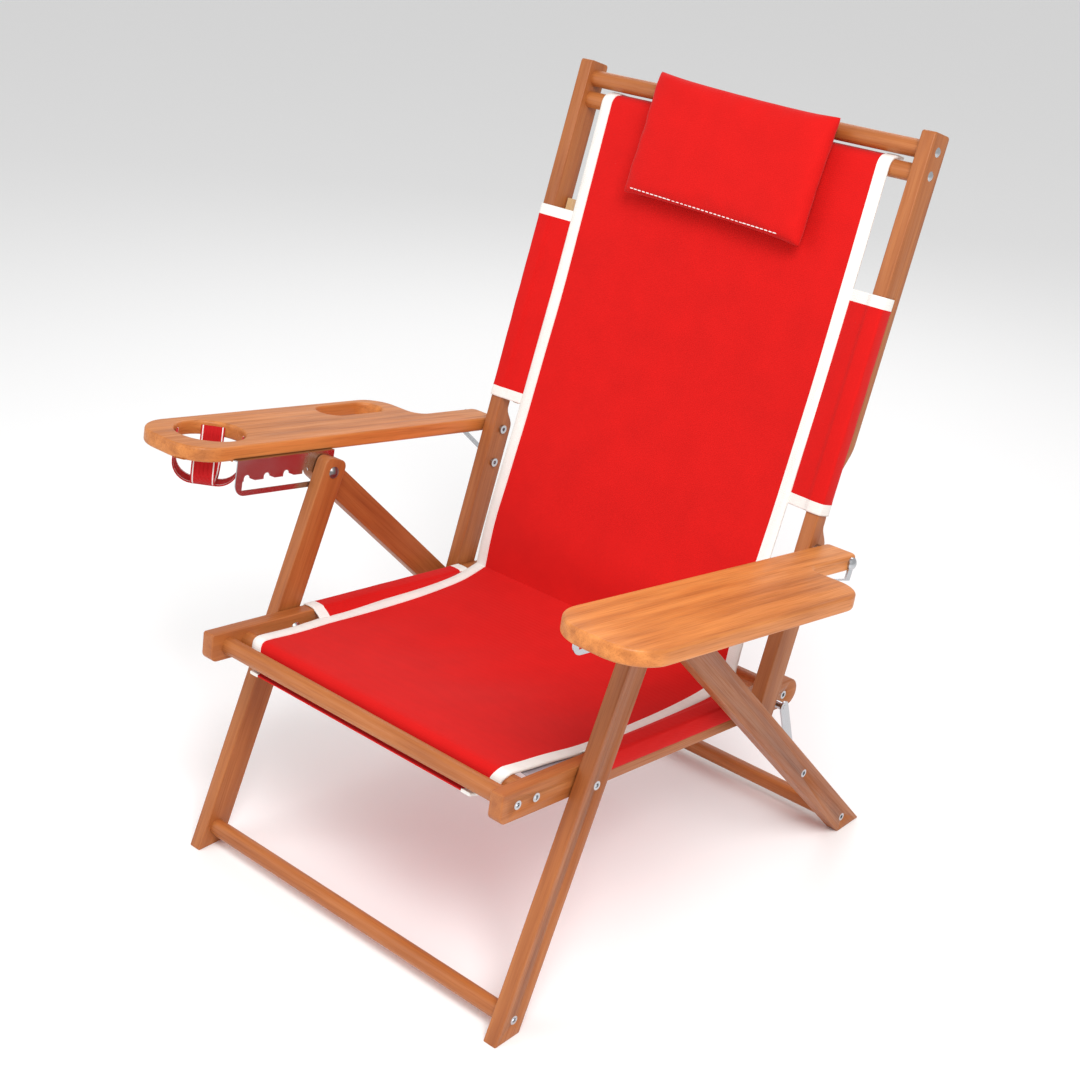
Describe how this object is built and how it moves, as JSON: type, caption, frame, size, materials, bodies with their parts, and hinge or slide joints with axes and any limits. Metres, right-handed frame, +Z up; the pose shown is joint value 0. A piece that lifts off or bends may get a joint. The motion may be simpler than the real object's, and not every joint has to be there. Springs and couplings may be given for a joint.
{
  "type": "folding beach chair",
  "caption": "Low folding beach chair with a wooden frame, red fabric sling, head pillow, five-position reclining back and wide wooden arms, one with a cup hole and a phone slot.",
  "frame": {"origin": "on the floor, under the middle of the chair's bounding box", "axes": "+X across the chair towards the plain arm, +Y to the back, +Z up"},
  "size_m": [0.82, 0.7184, 0.9556],
  "materials": {
    "oiled_wood": "oiled, satin",
    "raw_wood": "unfinished",
    "red_canvas": "plain woven canvas",
    "red_webbing": "woven webbing with white stitching",
    "white_binding": "woven binding tape",
    "grey_lining": "plain lining cloth",
    "steel": "polished"
  },
  "bodies": {
    "seat": {"seat_rail_left": "oiled_wood", "seat_rail_right": "oiled_wood", "seat_front_dowel": "oiled_wood", "seat_sling_dowel": "oiled_wood", "seat_rear_dowel": "oiled_wood", "seat_screws": "steel", "link_pins": "steel", "seat_sling": "red_canvas", "seat_wing_left": "red_canvas", "seat_wing_right": "red_canvas", "seat_batten_left": "oiled_wood", "seat_batten_right": "oiled_wood"},
    "back_pivots": {"back_pivot_bolts": "steel"},
    "back": {"back_upright_left": "oiled_wood", "back_upright_right": "oiled_wood", "back_top_dowel": "oiled_wood", "back_sling_dowel": "oiled_wood", "back_screws": "steel", "back_sling": "red_canvas", "back_wing_left": "red_canvas", "back_wing_right": "red_canvas", "back_batten_left": "raw_wood", "back_batten_right": "oiled_wood", "head_pillow": "red_canvas", "arm_brace_left": "steel", "arm_brace_right": "steel", "brace_bolts": "steel"},
    "front_legs": {"front_leg_left": "oiled_wood", "front_leg_right": "oiled_wood", "front_stretcher": "oiled_wood", "front_screws": "steel", "seat_pivot_bolts": "steel", "top_pivot_bolts": "steel"},
    "rear_legs": {"rear_leg_left": "oiled_wood", "rear_leg_right": "oiled_wood", "rear_stretcher": "oiled_wood", "rear_screws": "steel", "top_pivot_nuts": "steel", "link_bolts": "steel"},
    "tie_links": {"tie_link_left": "steel", "tie_link_right": "steel"},
    "arm_bolt_left": {"arm_bolt_left": "steel"},
    "arm_bolt_right": {"arm_bolt_right": "steel"},
    "arm_left": {"arm_left_board": "oiled_wood", "rack_left": "steel", "rack_screws_left": "steel", "cup_strap_long": "red_webbing", "cup_strap_cross": "red_webbing"},
    "arm_right": {"arm_right_board": "oiled_wood", "rack_right": "steel", "rack_screws_right": "steel"}
  },
  "joints": [
    {"name": "fold", "type": "hinge", "parent": "seat", "child": "front_legs", "pos_m": [0, -0.2132, 0.2857], "axis": [1, 0, 0], "range_deg": [0, 90]},
    {"name": "back_fold", "type": "hinge", "parent": "seat", "child": "back_pivots", "pos_m": [0, 0.1163, 0.2492], "axis": [1, 0, 0], "range_deg": [0, 88.61]},
    {"name": "recline", "type": "hinge", "parent": "back_pivots", "child": "back", "pos_m": [0, 0.1163, 0.2492], "axis": [1, 0, 0], "range_deg": [-38, 0]},
    {"name": "arm_left_fold", "type": "hinge", "parent": "back", "child": "arm_bolt_left", "pos_m": [0, 0.1828, 0.4555], "axis": [1, 0, 0], "range_deg": [-94.1, 0]},
    {"name": "arm_right_fold", "type": "hinge", "parent": "back", "child": "arm_bolt_right", "pos_m": [0, 0.1828, 0.4555], "axis": [1, 0, 0], "range_deg": [-94.1, 0]},
    {"name": "arm_left_recline", "type": "hinge", "parent": "arm_bolt_left", "child": "arm_left", "pos_m": [0, 0.1828, 0.4555], "axis": [1, 0, 0], "range_deg": [0, 29.31]},
    {"name": "arm_right_recline", "type": "hinge", "parent": "arm_bolt_right", "child": "arm_right", "pos_m": [0, 0.1828, 0.4555], "axis": [1, 0, 0], "range_deg": [0, 29.31]},
    {"name": "rear_fold", "type": "hinge", "parent": "front_legs", "child": "rear_legs", "pos_m": [0, -0.1315, 0.472], "axis": [1, 0, 0], "range_deg": [-60.64, 0]},
    {"name": "link_fold", "type": "hinge", "parent": "seat", "child": "tie_links", "pos_m": [0, 0.15552, 0.24483], "axis": [1, 0, 0], "range_deg": [-104.95, 0]}
  ],
  "couplings": [
    {"joint": "back_fold", "follows": "fold", "ratio": 0.9845},
    {"joint": "arm_left_fold", "follows": "fold", "ratio": -1.0454},
    {"joint": "arm_right_fold", "follows": "fold", "ratio": -1.0454},
    {"joint": "arm_left_recline", "follows": "recline", "ratio": -0.771},
    {"joint": "arm_right_recline", "follows": "recline", "ratio": -0.771},
    {"joint": "rear_fold", "follows": "fold", "ratio": -0.6737},
    {"joint": "link_fold", "follows": "fold", "ratio": -1.166}
  ]
}
